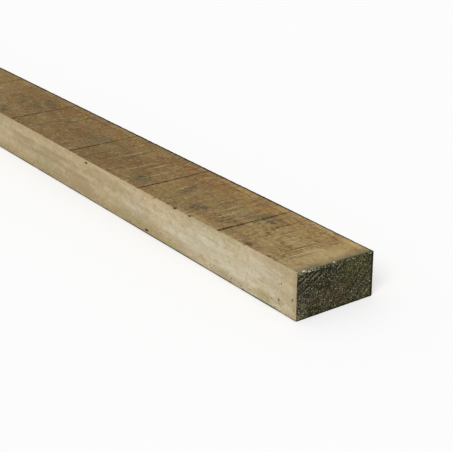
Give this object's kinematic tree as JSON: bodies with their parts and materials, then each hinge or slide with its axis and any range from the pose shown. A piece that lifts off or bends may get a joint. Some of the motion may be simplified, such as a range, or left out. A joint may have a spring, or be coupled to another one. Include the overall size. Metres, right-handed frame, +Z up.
{
  "type": "rough pine two-by-four",
  "caption": "Rough-sawn pine two-by-four in an eight-foot length, square ended, with saw scores across its upper wide face.",
  "frame": {"origin": "middle of the underside, the wide face that the board lies on", "axes": "+X along the grain towards the near end, +Y across the wide face, +Z up through the thickness"},
  "size_m": [2.4384, 0.1016, 0.0508],
  "materials": {
    "rough_pine": "matte"
  },
  "bodies": {
    "root": {"two_by_four": "rough_pine"}
  },
  "joints": []
}
